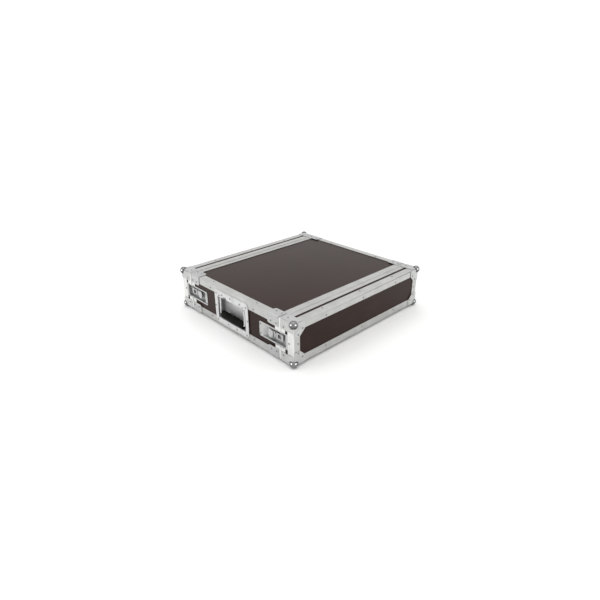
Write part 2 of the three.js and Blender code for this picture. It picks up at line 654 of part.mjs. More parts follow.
// A torsion spring round the pivot pin, with a leg that leans on the dish and one towards the grip.
function handleSpring() {
  const stepsPerTurn = 12;
  const steps = SPRING.turns * stepsPerTurn;
  const [px, pz] = pivotAt;
  const points = [new THREE.Vector3(px - SPRING.coil, SPRING.y, pz - SPRING.leg)];
  for (let i = 0; i <= steps; i += 1) {
    const turn = Math.PI + (2 * Math.PI * i) / stepsPerTurn;
    const y = SPRING.y + (SPRING.pitch * i) / stepsPerTurn;
    points.push(new THREE.Vector3(px + SPRING.coil * Math.cos(turn), y, pz - SPRING.coil * Math.sin(turn)));
  }
  points.push(new THREE.Vector3(px - SPRING.coil, points.at(-1).y, pz - SPRING.leg));
  const path = new THREE.CatmullRomCurve3(points, false, "centripetal");
  const wire = new THREE.Shape().absarc(0, 0, SPRING.wire, 0, 2 * Math.PI, false);
  const options = { extrudePath: path, steps: steps + 6, bevelEnabled: false, curveSegments: 6 };
  return toSolid(new THREE.ExtrudeGeometry(wire, options));
}

for (const [side, sx] of SIDES) {
  const handle = mirrorGroup(sx, 1);
  place(`handle_dish_${side}`, handleDish(), "zinc", handle);
  place(`handle_pin_${side}`, handlePin(), "spring", handle);
  place(`handle_spring_${side}`, handleSpring(), "spring", handle);
  place(`handle_bail_${side}`, handleBail(), "zinc", handle);
  place(`handle_grip_${side}`, handleGrip(), "rubber", handle);
}

export default rackCase;
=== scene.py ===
# %% [markdown]
# # A rack flight case
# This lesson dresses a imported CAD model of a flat, two-unit flight case: dark film-faced plywood boards,
# aluminium extrusions along every edge, plated steel corners, latches and handles.
# The CAD model fixes every size and every joint. Blender adds what makes the case look real: softened
# edges, pressed shapes, rivets, and materials with grain, streaks and dullness of the right size.
# Everything is in metres, in the CAD model's own frame: +X is the case's right side, +Y its rear.

# %% Load the frame
import json
import math
import bmesh
import bpy
from mathutils import Matrix, Vector

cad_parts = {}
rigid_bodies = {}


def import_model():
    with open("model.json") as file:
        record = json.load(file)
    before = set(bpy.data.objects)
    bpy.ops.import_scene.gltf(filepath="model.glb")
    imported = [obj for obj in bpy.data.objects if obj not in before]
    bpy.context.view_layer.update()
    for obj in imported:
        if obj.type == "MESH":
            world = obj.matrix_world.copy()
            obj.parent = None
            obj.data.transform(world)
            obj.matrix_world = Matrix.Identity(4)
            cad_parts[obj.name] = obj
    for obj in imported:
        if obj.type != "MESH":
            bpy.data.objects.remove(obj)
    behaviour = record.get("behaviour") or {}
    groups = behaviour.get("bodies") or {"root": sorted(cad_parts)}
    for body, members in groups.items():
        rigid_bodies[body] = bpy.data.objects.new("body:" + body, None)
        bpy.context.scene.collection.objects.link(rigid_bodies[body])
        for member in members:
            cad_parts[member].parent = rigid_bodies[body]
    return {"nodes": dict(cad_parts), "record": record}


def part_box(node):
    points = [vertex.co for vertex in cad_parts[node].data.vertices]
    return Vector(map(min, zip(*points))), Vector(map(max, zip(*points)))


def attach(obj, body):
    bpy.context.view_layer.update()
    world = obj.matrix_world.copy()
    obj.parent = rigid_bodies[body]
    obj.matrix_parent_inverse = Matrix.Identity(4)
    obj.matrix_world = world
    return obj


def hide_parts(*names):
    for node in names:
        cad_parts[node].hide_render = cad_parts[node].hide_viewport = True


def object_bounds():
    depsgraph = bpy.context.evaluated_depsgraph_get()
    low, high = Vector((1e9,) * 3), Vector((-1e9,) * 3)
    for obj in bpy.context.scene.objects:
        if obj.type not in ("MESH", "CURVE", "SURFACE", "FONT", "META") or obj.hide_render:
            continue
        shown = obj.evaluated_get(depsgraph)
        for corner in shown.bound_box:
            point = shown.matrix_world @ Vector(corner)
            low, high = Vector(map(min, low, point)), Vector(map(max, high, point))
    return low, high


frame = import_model()
cad_low, cad_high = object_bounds()
nodes = frame["nodes"]
scene = bpy.context.scene
MM = 0.001
print("case", [round(1000 * side, 1) for side in cad_high - cad_low], "mm,", len(nodes), "nodes")

# %% [markdown]
# ## Camera
# A camera can be aimed with a constraint, with typed-in angles, or with a vector along which it looks.
# A vector is the clearest here: the camera stands front left of the case and above it, and its vector and
# its small roll turn into one rotation. A 28 mm lens this close gives the near corner its strong size.

# %% Camera
LENS = 28
CAMERA_OFFSET = Vector((-894.3, -935.2, 571.1)) * MM
CAMERA_LOOKS = Vector((0.6235, 0.6521, -0.4313))
CAMERA_ROLL = math.radians(-0.26)

case_centre = (cad_low + cad_high) / 2


def link(name, data):
    """Makes an object with that data and puts it in the scene."""
    made = bpy.data.objects.new(name, data)
    scene.collection.objects.link(made)
    return made


camera_data = bpy.data.cameras.new("camera")
camera_data.lens = LENS
camera_data.dof.use_dof = False
camera = link("camera", camera_data)
camera.location = case_centre + CAMERA_OFFSET
aim = CAMERA_LOOKS.to_track_quat("-Z", "Y") @ Matrix.Rotation(CAMERA_ROLL, 3, "Z").to_quaternion()
camera.rotation_euler = aim.to_euler()
scene.camera = camera
print("camera", [round(value, 3) for value in camera.location])

# %% [markdown]
# ## Colours and shader nodes
# Colours are written as the sRGB hex values that a colour picker shows, and Blender shades in linear light,
# so one function converts them. A second one adds a shader node with its settings and its links in one
# call, which keeps each material short enough to read from top to bottom.

# %% Colour and node helpers
def colour(hex_value):
    """An sRGB hex colour, such as 0x3A302E, as linear RGBA."""
    channels = [((hex_value >> shift) & 255) / 255 for shift in (16, 8, 0)]
    linear = [c / 12.92 if c <= 0.04045 else ((c + 0.055) / 1.055) ** 2.4 for c in channels]
    return (*linear, 1.0)


def add(tree, kind, inputs=None, **settings):
    """Adds a node. An input is a value, or another node's output socket to link from."""
    node = tree.nodes.new(kind)
    for name, value in settings.items():
        setattr(node, name, value)
    for key, value in (inputs or {}).items():
        if isinstance(value, bpy.types.NodeSocket):
            tree.links.new(value, node.inputs[key])
        else:
            node.inputs[key].default_value = value
    return node


def new_material(name, view, **surface):
    """A material whose shader has those constant values, with its tree and its object coordinates."""
    material = bpy.data.materials.new(name)
    material.use_nodes = True
    material.diffuse_color = colour(view)
    tree = material.node_tree
    for key, value in surface.items():
        tree.nodes["Principled BSDF"].inputs[key].default_value = value
    return material, tree, add(tree, "ShaderNodeTexCoord").outputs["Object"]


def drawn(material, *sockets):
    """Links the outputs to the shader's colour, roughness and normal, and returns the material."""
    tree = material.node_tree
    for name, socket in zip(("Base Color", "Roughness", "Normal"), sockets):
        tree.links.new(socket, tree.nodes["Principled BSDF"].inputs[name])
    return material


def ramp(tree, factor, low, high, start=0.0, end=1.0):
    """A colour ramp from one hex colour to another."""
    node = add(tree, "ShaderNodeValToRGB", {"Fac": factor})
    first, last = node.color_ramp.elements
    first.position, first.color = start, colour(low)
    last.position, last.color = end, colour(high)
    return node.outputs["Color"]


def remap(tree, value, low, high):
    """Maps 0 to 1 onto low to high."""
    inputs = {"Value": value, "To Min": low, "To Max": high}
    return add(tree, "ShaderNodeMapRange", inputs).outputs["Result"]


def product(tree, one, other):
    """Both values multiplied, so that the result is high only where both are."""
    return add(tree, "ShaderNodeMath", {0: one, 1: other}, operation="MULTIPLY").outputs["Value"]


def blended(tree, share, first, second):
    """The first colour, and the second one where the share is 1. Their sockets have the same name."""
    return add(tree, "ShaderNodeMix", {"Factor": share, 6: first, 7: second}, data_type="RGBA").outputs[2]


def noise(tree, vector, size_mm, detail=2.0, roughness=0.5):
    """Noise whose features are about that many millimetres across, on coordinates in metres."""
    inputs = {"Vector": vector, "Scale": 1 / (size_mm * MM), "Detail": detail, "Roughness": roughness}
    return add(tree, "ShaderNodeTexNoise", inputs).outputs["Fac"]


def stretched(tree, vector, scale):
    """The same coordinates with each axis scaled: a small number draws the pattern out along that axis."""
    return add(tree, "ShaderNodeMapping", {"Vector": vector, "Scale": scale}).outputs["Vector"]


def bump(tree, height, depth_mm, **over):
    """A bump whose full height is that many millimetres. It can lie over another, given as Normal."""
    inputs = {"Height": height, "Distance": depth_mm * MM, **over}
    return add(tree, "ShaderNodeBump", inputs).outputs["Normal"]


# %% [markdown]
# ## Film-faced birch plywood
# The boards are birch plywood pressed with a dark brown phenolic film. The film is a hard, slightly glossy
# plastic skin: it mirrors a bright room softly at a low angle and is nearly black-brown straight on.
# The veneer below telegraphs through as long shallow waves, and the film itself has a fine wire pattern.
# Both are drawn as bump, and a slow cloud of colour keeps the large boards from looking like paint.

# %% Film-faced plywood
FILM_BROWN = 0x22110A
FILM_BROWN_LIGHT = 0x2D1810


def film_faced_plywood():
    material, tree, place = new_material("film_faced_birch_plywood", FILM_BROWN, IOR=1.25)
    clouds = noise(tree, place, 90, detail=4.0)
    grain = noise(tree, stretched(tree, place, (0.06, 1, 1)), 5, detail=5.0, roughness=0.6)
    pattern = noise(tree, place, 0.9, detail=2.0)
    both = product(tree, clouds, grain)
    brown = ramp(tree, both, FILM_BROWN, FILM_BROWN_LIGHT, 0.12, 0.45)
    wires = bump(tree, pattern, 0.012, Normal=bump(tree, grain, 0.02))
    return drawn(material, brown, remap(tree, grain, 0.24, 0.36), wires)


# %% [markdown]
# ## Mill-finish aluminium
# The extrusions come out of the press with fine die lines along their length and are neither polished nor
# anodised, so they are pale, satin and faintly streaked. The streaks have to run along each bar, and one
# frame has bars along two axes. A UV map solves that: U is laid along the bar and V across it, in metres,
# when each piece is made, and the material only has to stretch its noise along U. An attribute marks the
# upright bars: they mirror the room's grey band, not its bright top, so painted light, a paler tone, makes
# up for it.

# %% Mill aluminium
GRAIN_MAP = "bar_grain"
ALUMINIUM_PALE = 0xCBCBC9
ALUMINIUM_DULL = 0xB6B6B4
ALUMINIUM_PAINTED_LIGHT = 0xE4E5E3
UPRIGHT_MAP = "upright"


def mill_aluminium():
    material, tree, place = new_material("mill_finish_aluminium", ALUMINIUM_PALE, Metallic=1.0)
    grain = add(tree, "ShaderNodeUVMap", uv_map=GRAIN_MAP).outputs["UV"]
    # real die lines are a few hundredths of a millimetre apart: 0.5 mm is as fine as a render shows
    lines = noise(tree, stretched(tree, grain, (0.012, 1, 1)), 0.5, detail=4.0, roughness=0.65)
    handling = noise(tree, place, 35, detail=5.0, roughness=0.6)
    both = product(tree, lines, handling)
    tone = ramp(tree, both, ALUMINIUM_DULL, ALUMINIUM_PALE, 0.12, 0.38)
    # painted light: the upright bars get a paler tone, because they mirror the room's darker band
    upright = add(tree, "ShaderNodeAttribute", attribute_name=UPRIGHT_MAP).outputs["Fac"]
    bright = ramp(tree, both, ALUMINIUM_PALE, ALUMINIUM_PAINTED_LIGHT, 0.0, 0.25)
    base = blended(tree, upright, tone, bright)
    return drawn(material, base, remap(tree, both, 0.36, 0.56), bump(tree, lines, 0.012))


# %% [markdown]
# ## Plated steel
# Several steels differ mostly in how bright their plating is. Braces, dishes and hooks are zinc: a cool,
# slightly cloudy mirror. The balls are the smoothest, because the press stretches them tight over a
# polished tool. Shade is painted into the plating at the ball's foot, deep in the latch pockets and on the
# handle dishes' end walls, and a dark reflection under the upper balls: a mesh says where that is, in an
# attribute, and the plating darkens by it. One function makes every steel, and the rivets' aluminium, from
# a bright and a dull colour, a range of roughness and the size of its clouds. Satin zinc is only half a
# metal here, so that it scatters light as a chalky film does.

# %% Plated steels
# the attribute and the near-black colour of the painted shade
PAINTED_SHADE_MAP = "groove"
PAINTED_SHADE_COLOUR = 0x1D1C1B


def plated_steel(name, bright, dull, smoothest, roughest, cloud_mm, metallic=1.0):
    material, tree, place = new_material(name, bright, Metallic=metallic)
    clouds = noise(tree, place, cloud_mm, detail=4.0, roughness=0.55)
    specks = noise(tree, place, 1.2, detail=3.0, roughness=0.7)
    both = product(tree, clouds, specks)
    unshaded = ramp(tree, both, dull, bright, 0.1, 0.42)
    # painted shade: where the attribute is high, the plating is painted towards near-black
    groove = add(tree, "ShaderNodeAttribute", attribute_name=PAINTED_SHADE_MAP).outputs["Fac"]
    with_painted_shade = blended(tree, groove, unshaded, colour(PAINTED_SHADE_COLOUR))
    return drawn(material, with_painted_shade, remap(tree, both, roughest, smoothest), bump(tree, clouds, 0.01))


# %% [markdown]
# ## Rubber and powder coat
# The grip is moulded rubber: nearly black with a green cast, matt, with a fine eroded texture.
# The rack rails are steel with a black powder coat, whose orange peel is bumps about a millimetre wide.

# %% Rubber and powder coat
def moulded_rubber():
    material, tree, place = new_material("moulded_rubber", 0x141512, IOR=1.15)
    erosion = noise(tree, place, 0.8, detail=3.0, roughness=0.7)
    tone = ramp(tree, noise(tree, place, 14), 0x0F100D, 0x191A16, 0.3, 0.7)
    return drawn(material, tone, remap(tree, erosion, 0.65, 0.85), bump(tree, erosion, 0.06))


def powder_coat():
    material, tree, place = new_material("black_powder_coat", 0x2B2C2E)
    peel = noise(tree, place, 1.1, detail=2.0)
    tone = ramp(tree, noise(tree, place, 30, detail=3.0), 0x262729, 0x303134, 0.3, 0.7)
    return drawn(material, tone, remap(tree, peel, 0.42, 0.58), bump(tree, peel, 0.04))


# %% Make the materials
board_finish = film_faced_plywood()
bar_finish = mill_aluminium()
# bright and dull colour, smoothest and roughest, size of the clouds in millimetres
zinc_finish = plated_steel("bright_zinc_plated_steel", 0xCBCCCB, 0xB3B4B5, 0.24, 0.44, 9)
satin_finish = plated_steel("satin_zinc_plated_steel", 0xDBDCDB, 0xC8C9CA, 0.38, 0.55, 20, metallic=0.5)
petal_finish = plated_steel("pressed_plated_steel", 0xCFD0CE, 0xB9BABA, 0.26, 0.44, 14)
ball_finish = plated_steel("polished_ball_steel", 0x8C8D8D, 0x727374, 0.05, 0.1, 7)
wire_finish = plated_steel("drawn_spring_steel", 0xA4A6A8, 0x84878A, 0.22, 0.4, 5)
bail_finish = plated_steel("bright_drawn_rod", 0xDEDFDE, 0xC4C5C5, 0.16, 0.3, 6)
rivet_finish = plated_steel("aluminium_rivet_head", 0xA9A9A8, 0x8B8B8A, 0.35, 0.5, 3)
rubber_finish = moulded_rubber()
rail_finish = powder_coat()
print(len(bpy.data.materials), "materials")

# %% [markdown]
# ## From a CAD node to a finished piece
# A CAD solid has knife-sharp edges, and real metal never does: the thin bright line that an edge draws is
# what tells the eye that it is looking at metal. Modelling every piece again would lose the exact sizes, so
# most pieces start as a copy of their node. The copy is merged, its flat faces are joined, its edges are
# bevelled by the radius that the press or the die leaves, and weighted normals keep the flats flat.

# %% Copy, bevel and hand over a piece
BEVEL_FROM = math.radians(32)
body_of_node = {
    node: body for body, members in frame["record"]["behaviour"]["bodies"].items() for node in members
}


def as_mesh(edit, name, outward=False):
    """Ends the edit and returns its mesh, whose faces are first turned outwards if asked."""
    if outward:
        bmesh.ops.recalc_face_normals(edit, faces=edit.faces)
    mesh = bpy.data.meshes.new(name)
    edit.to_mesh(mesh)
    edit.free()
    return mesh


def merged_copy(node):
    """A copy of the node's mesh with its loose triangles joined and its flat faces made whole."""
    edit = bmesh.new()
    edit.from_mesh(nodes[node].data)
    bmesh.ops.remove_doubles(edit, verts=edit.verts, dist=0.002 * MM)
    bmesh.ops.dissolve_limit(edit, angle_limit=math.radians(0.5), verts=edit.verts, edges=edit.edges)
    return as_mesh(edit, node)


def evaluated(worker):
    """The mesh that a helper object's modifiers or curve make. The helper is then removed."""
    bpy.context.view_layer.update()
    made = bpy.data.meshes.new_from_object(worker.evaluated_get(bpy.context.evaluated_depsgraph_get()))
    bpy.data.objects.remove(worker)
    return made


def modified(mesh, kind, **settings):
    """The mesh that a modifier of that kind makes of it."""
    worker = link("worker", mesh)
    modifier = worker.modifiers.new(kind, kind)
    for name, value in settings.items():
        setattr(modifier, name, value)
    return evaluated(worker)


def bevelled(mesh, radius_mm):
    """The mesh with every edge that turns by more than BEVEL_FROM cut round."""
    return modified(mesh, "BEVEL", width=radius_mm * MM, segments=2, limit_method="ANGLE",
                    angle_limit=BEVEL_FROM, use_clamp_overlap=True)


def softened(mesh, radius_mm):
    """The mesh with bevelled edges, shaded smooth across the bevels and flat across the flats."""
    rounded = bevelled(mesh, radius_mm)
    rounded.shade_smooth()
    return modified(rounded, "WEIGHTED_NORMAL", keep_sharp=False, weight=100)


def finish_piece(name, mesh, finish, node):
    """Makes the piece, gives it its finish, and lets it ride and stand in for its CAD node."""
    mesh.materials.clear()
    mesh.materials.append(finish)
    piece = link(name, mesh)
    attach(piece, body_of_node[node])
    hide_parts(node)


# %% [markdown]
# ## Grain along each bar
# The UV map that the aluminium reads is laid face by face, because an unwrap wouldn't know which way a bar
# runs.
# U is the place along the bar. V is the sum of the other two coordinates, which carries the lines
# round a bar's corner without a break. In a frame, a face belongs to the upright bar when it is nearer to
# the frame's side than to its top or bottom, which puts the change at the mitres, as on the real frame.

# %% Lay the grain
WIDTH, DEPTH, HEIGHT = 0, 1, 2
BOARD_X = 252.5  # mm from the middle to a side board's outer face
PARTING = 193.0  # mm from the middle to where a lid meets the body
CLOSE = 0.02 * MM  # places nearer than this count as one
angle_low, angle_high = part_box("front_lid_edge_frame")
out_x = angle_high.x
out_y = -angle_low.y
middle_z = (angle_low.z + angle_high.z) / 2
out_z = angle_high.z - middle_z
print("over the angles", [round(2000 * half, 1) for half in (out_x, out_y, out_z)], "mm")


def along_depth(centre):
    return DEPTH


def along_frame(centre):
    from_side = out_x - abs(centre.x)
    from_level = out_z - abs(centre.z - middle_z)
    return HEIGHT if from_side < from_level else WIDTH


def lay_grain(mesh, bar_axis):
    layer = mesh.uv_layers.new(name=GRAIN_MAP)
    # this attribute marks the upright bars, which get painted light in the aluminium's colour
    upright = mesh.attributes.new(UPRIGHT_MAP, "FLOAT", "FACE")
    for face in mesh.polygons:
        along = bar_axis(face.center)
        upright.data[face.index].value = along == HEIGHT
        for loop in face.loop_indices:
            place = mesh.vertices[mesh.loops[loop].vertex_index].co
            layer.data[loop].uv = (place[along], sum(place) - place[along])
    return mesh


# %% [markdown]
# ## Boards
# The boards keep their CAD nodes: their edges are all covered by extrusions, so only the film shows.
# They get the film-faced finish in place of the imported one.

# %% Boards
boards = ["top_panel", "bottom_panel", "left_panel", "right_panel", "front_lid_tray", "rear_lid_tray"]
for board in boards:
    nodes[board].data.materials.clear()
    nodes[board].data.materials.append(board_finish)
print(len(boards), "boards")

# %% [markdown]
# ## Edge angles and lid frames
# These are plain extrusions cut to length. A die leaves about a third of a millimetre on their thin
# edges. The edges round a lid's outer face are filed much rounder, because hands and floors meet them.

# %% Edge angles and lid frames
SIDES = {"left": -1, "right": 1}
ENDS = {"front": -1, "rear": 1}
LEVELS = {"bottom": -1, "top": 1}
DIE_RADIUS = 0.35
LID_ROUND = 2.4


def on_rim(place):
    """Whether the place is on an edge round a lid's outer face."""
    from_side, from_level = abs(abs(place.x) - out_x), abs(abs(place.z - middle_z) - out_z)
    return abs(abs(place.y) - out_y) < CLOSE and min(from_side, from_level) < CLOSE


def rounded_outside(mesh):
    """The lid's edge frame with the edges round its outer face cut round."""
    edit = bmesh.new()
    edit.from_mesh(mesh)
    rim = [edge for edge in edit.edges if all(on_rim(vertex.co) for vertex in edge.verts)]
    bmesh.ops.bevel(edit, geom=rim, offset=LID_ROUND * MM, offset_type="OFFSET", segments=5, profile=0.5,
                    affect="EDGES", clamp_overlap=True)
    print("rounded", len(rim), "edges")
    return as_mesh(edit, "rounded")


for level in LEVELS:
    for side in SIDES:
        node = f"edge_angle_{level}_{side}"
        bar = lay_grain(softened(merged_copy(node), DIE_RADIUS), along_depth)
        finish_piece(f"{node}_extrusion", bar, bar_finish, node)
for end in ENDS:
    for kind in ("lid_edge_frame", "lid_closing_frame"):
        node = f"{end}_{kind}"
        solid = merged_copy(node)
        shaped = rounded_outside(solid) if kind == "lid_edge_frame" else solid
        frame_mesh = lay_grain(softened(shaped, DIE_RADIUS), along_frame)
        finish_piece(f"{node}_extrusion", frame_mesh, bar_finish, node)

# %% [markdown]
# ## Closing frames and their corner braces
# In CAD each closing frame is one solid with its four corner braces, but the frame is aluminium and the
# braces are zinc-plated steel. A block as large as the frame's outside tells them apart: what lies inside it
# is the frame, and what lies outside it is the braces. Two exact booleans with the same block give two
# closed meshes, and each gets its own edge radius and its own metal.

# %% Split a solid with a block
def round_corners(half_a, half_b, radius, steps):
    """The four round corners of a rectangle, as an arc of points each."""
    for turn, (sa, sb) in enumerate(((1, 1), (-1, 1), (-1, -1), (1, -1))):
        middle = Vector((sa * (half_a - radius), sb * (half_b - radius)))
        angles = [math.pi / 2 * (turn + step / steps) for step in range(steps + 1)]
        yield [middle + radius * Vector((math.cos(angle), math.sin(angle))) for angle in angles]


def rounded_block(half_x, half_y, half_z, radius, steps=6):
    """A block about the case's middle, whose edges along its depth are round."""
    edit = bmesh.new()
    arcs = round_corners(half_x, half_z, radius, steps)
    ring = [edit.verts.new((x, half_y, middle_z + z)) for arc in arcs for x, z in arc]
    face = edit.faces.new(ring)
    pushed = bmesh.ops.extrude_face_region(edit, geom=[face])["geom"]
    moved = [item for item in pushed if isinstance(item, bmesh.types.BMVert)]
    bmesh.ops.translate(edit, verts=moved, vec=(0, -2 * half_y, 0))
    return as_mesh(edit, "block", outward=True)


def boolean(mesh, other, operation):
    tool = link("tool", other)
    made = modified(mesh, "BOOLEAN", operation=operation, solver="EXACT", object=tool)
    bpy.data.objects.remove(tool)
    return made


# %% Closing frames and braces
SPLIT_GAP = 0.15 * MM
EDGE_ROUND = 3 * MM
BRACE_RADIUS = 0.45

for end in ENDS:
    node = f"{end}_closing_frame"
    solid = merged_copy(node)
    half = (out_x + SPLIT_GAP, out_y, out_z + SPLIT_GAP)
    block = rounded_block(*half, EDGE_ROUND + SPLIT_GAP)
    bars = softened(boolean(solid.copy(), block.copy(), "INTERSECT"), DIE_RADIUS)
    finish_piece(f"{node}_extrusion", lay_grain(bars, along_frame), bar_finish, node)
    braces = softened(boolean(solid, block, "DIFFERENCE"), BRACE_RADIUS)
    finish_piece(f"{end}_corner_braces", braces, zinc_finish, node)
    print(end, "frame", len(bars.polygons), "braces", len(braces.polygons), "faces")

# %% [markdown]
# ## Outlines and pressed plates
# Sheet steel is cut by a die whose corners are round, so a plate starts as an outline in two dimensions
# whose corners are replaced by short arcs. Pushed through the sheet's thickness it is a closed plate,
# and a small bevel on its rims is the burr that tumbling takes off.

# %% Plate helpers
def round_corner(before, corner, after, radius, steps):
    """A curve in place of a corner, from radius before it to radius after it, or less on a short side."""
    back, on = before - corner, after - corner
    start = corner + back.normalized() * min(radius, back.length / 2.2)
    end = corner + on.normalized() * min(radius, on.length / 2.2)
    for step in range(steps + 1):
        t = step / steps
        yield (1 - t) ** 2 * start + 2 * t * (1 - t) * corner + t * t * end


def rounded_outline(points, radius, steps=5):
    """The closed outline with every corner round."""
    points = [Vector(point) for point in points]
    corners = zip(points[-1:] + points[:-1], points, points[1:] + points[:1])
    return [place for corner in corners for place in round_corner(*corner, radius, steps)]


def bridge(edit, one, other):
    """Joins two rings of as many vertices by a band of faces."""
    for index in range(len(one)):
        edit.faces.new((one[index - 1], one[index], other[index], other[index - 1]))


def plate(points, axis, low, high):
    """A closed plate. Its outline lies across the axis, and its faces are at low and high on it."""
    edit = bmesh.new()
    rings = []
    for level in (low, high):
        ring = []
        for a, b in points:
            place = [a, b]
            place.insert(axis, level)
            ring.append(edit.verts.new(place))
        rings.append(ring)
        edit.faces.new(ring)
    bridge(edit, *rings)
    return as_mesh(edit, "plate", outward=True)


def mirrored(mesh, signs):
    """A mirror copy whose faces point outwards. Stored normals don't survive, so they are made anew."""
    copy = mesh.copy()
    if copy.has_custom_normals:
        copy.attributes.remove(copy.attributes["custom_normal"])
    copy.transform(Matrix.Diagonal((*signs, 1)))
    if signs[0] * signs[1] * signs[2] < 0:
        copy.flip_normals()
    return modified(copy, "WEIGHTED_NORMAL", keep_sharp=True, weight=100)


def raised(mesh, height):
    """Moves a mesh that was drawn about the case's middle up to where the case is."""
    mesh.transform(Matrix.Translation((0, 0, height)))
    return mesh


# %% [markdown]
# ## Ball corners
# A ball corner has a ball, a low collar round its foot, and three petals that lie on the case's three
# faces. Joining discs leaves hard creases that a press can't make. Instead a fine sphere is reshaped into
# the collar: each vertex is pushed out along its own direction to the smallest of a larger ball, three
# planes, three edge chamfers and a corner plane. Using a high power for "smallest" blends them, and that
# leaves the small radii of a real pressing. The ball is another fine sphere, and it is a piece of its own
# because it is polished and the rest isn't. Shade is painted where the ball meets its collar, and a dark
# reflection is painted on the underside of the upper balls.

# %% Ball corner
BALL = {"radius": 10.65, "collar": 13.9, "proud": 6.65, "edge": 5.3, "apex": 3.0, "sunk": 2.65}
COLLAR_POWER = 18
# painted shade in the crease at the ball's foot, and a painted dark reflection under the upper balls
SHADE_WIDTH_ON_BALL, SHADE_WIDTH_ON_COLLAR = 1.8, 0.8
COLLAR_SHADE, UNDERSIDE_SHADE = 0.8, 0.7
UNDERSIDE_FROM, UNDERSIDE_FULL = 0.3, -0.5
PETAL = {"top": 28.6, "side": 25.8, "face": 36.8, "face_cut": 16.3, "slit": 1.2, "clear": 7}
PETAL_CORNER = 2.5
PETAL_EDGE = 0.3
PLATE_LOW, PLATE_HIGH = 0.3, 1.5

ball_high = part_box("ball_corner_rear_top_right")[1]
ball_centre = ball_high - Vector((1, 1, 1)) * BALL["radius"] * MM - Vector((0, 0, middle_z))
HIDDEN_MARGIN = 0.1
HIDDEN_BELOW = (out_x - ball_centre.x) / MM - HIDDEN_MARGIN


def collar_reach(direction):
    """How far the collar reaches from the ball's centre in that direction, in millimetres."""
    shares = [BALL["collar"] ** -COLLAR_POWER]
    shares += [(max(part, 0) / BALL["proud"]) ** COLLAR_POWER for part in direction]
    for part in direction:
        across_edge = max(sum(direction) - part, 0) / math.sqrt(2)
        shares.append((across_edge / BALL["edge"]) ** COLLAR_POWER)
    shares.append((max(sum(direction), 0) / math.sqrt(3) / BALL["apex"]) ** COLLAR_POWER)
    return sum(shares) ** (-1 / COLLAR_POWER)


def ball_reach(direction):
    return BALL["radius"]


def painted_shade_at(direction, far, shade_below):
    """How much painted shade a point gets: most in the crease at the ball's foot, and on the ball's
    underside a painted dark reflection by the share given.
    """
    if far > BALL["radius"]:
        return COLLAR_SHADE * math.exp(-(((far - BALL["radius"]) / SHADE_WIDTH_ON_COLLAR) ** 2))
    foot_of_ball = (BALL["radius"] - collar_reach(direction)) / SHADE_WIDTH_ON_BALL
    underside = (UNDERSIDE_FROM - direction.z) / (UNDERSIDE_FROM - UNDERSIDE_FULL)
    return max(math.exp(-(foot_of_ball ** 2)), shade_below * min(max(underside, 0), 1))


def sunk_sphere(centre, reach, shade_below=0.0):
    """A fine sphere pushed out to that reach, and cut flat where it is let into the boards.

    It is cut only where its full reach would still be inside the case, so no cut shows.
    """
    edit = bmesh.new()
    bmesh.ops.create_icosphere(edit, subdivisions=6, radius=1)
    # painted shade: this value darkens the plating at the ball's foot and under the upper balls
    painted_dark = edit.verts.layers.float.new(PAINTED_SHADE_MAP)
    for vertex in edit.verts:
        direction = vertex.co.normalized()
        far = reach(direction)
        if max(direction) * far < HIDDEN_BELOW:
            far = min([far, *(BALL["sunk"] / -part for part in direction if part < -1e-6)])
        vertex[painted_dark] = painted_shade_at(direction, far, shade_below)
        vertex.co = centre + direction * far * MM
    return as_mesh(edit, "pressed_sphere")


def petals():
    """The top, side and face petals of the rear upper right corner, about the case's middle height."""
    x, y, z = out_x / MM, out_y / MM, out_z / MM
    near, far = PARTING + PETAL["clear"], y - PETAL["slit"]
    slit, face, cut = PETAL["slit"], PETAL["face"], PETAL["face_cut"]
    plans = (
        (HEIGHT, z, [(x - PETAL["top"], near), (x - slit, near), (x - slit, far), (x - PETAL["top"], far)]),
        (WIDTH, x, [(near, z - PETAL["side"]), (far, z - PETAL["side"]), (far, z - slit), (near, z - slit)]),
        (DEPTH, y, [(x - slit, z - slit), (x - face, z - slit), (x - face, z - face + cut),
                    (x - face + cut, z - face), (x - slit, z - face)]),
    )
    for axis, level, points in plans:
        outline = [point * MM for point in rounded_outline(points, PETAL_CORNER)]
        pressed = plate(outline, axis, (level + PLATE_LOW) * MM, (level + PLATE_HIGH) * MM)
        yield bevelled(pressed, PETAL_EDGE)


collar = sunk_sphere(ball_centre, collar_reach)
for petal in petals():
    collar = boolean(collar, petal, "UNION")
for vertex in collar.vertices:
    # one vertex with painted shade would spread it over a petal's large faces, so no vertex of a petal has
    # any
    above = max(abs(part) - level for part, level in zip(vertex.co, (out_x, out_y, out_z)))
    if above < PLATE_HIGH * MM + CLOSE:
        collar.attributes[PAINTED_SHADE_MAP].data[vertex.index].value = 0
collar.shade_smooth()
collar.set_sharp_from_angle(angle=math.radians(38))
# the upper balls get a painted dark reflection on their undersides, and the lower balls get none
balls = {
    "top": sunk_sphere(ball_centre, ball_reach, UNDERSIDE_SHADE),
    "bottom": sunk_sphere(ball_centre, ball_reach),
}
for ball in balls.values():
    ball.shade_smooth()
for end, sy in ENDS.items():
    for level, sz in LEVELS.items():
        for side, sx in SIDES.items():
            node = f"ball_corner_{end}_{level}_{side}"
            kinds = {"petals": (collar, petal_finish), "ball": (balls[level], ball_finish)}
            for kind, (mesh, finish) in kinds.items():
                pressing = raised(mirrored(mesh, (sx, sy, sz)), middle_z)
                finish_piece(f"{node}_{kind}", pressing, finish, node)
print("ball corner", len(collar.polygons) + len(ball.polygons), "faces")

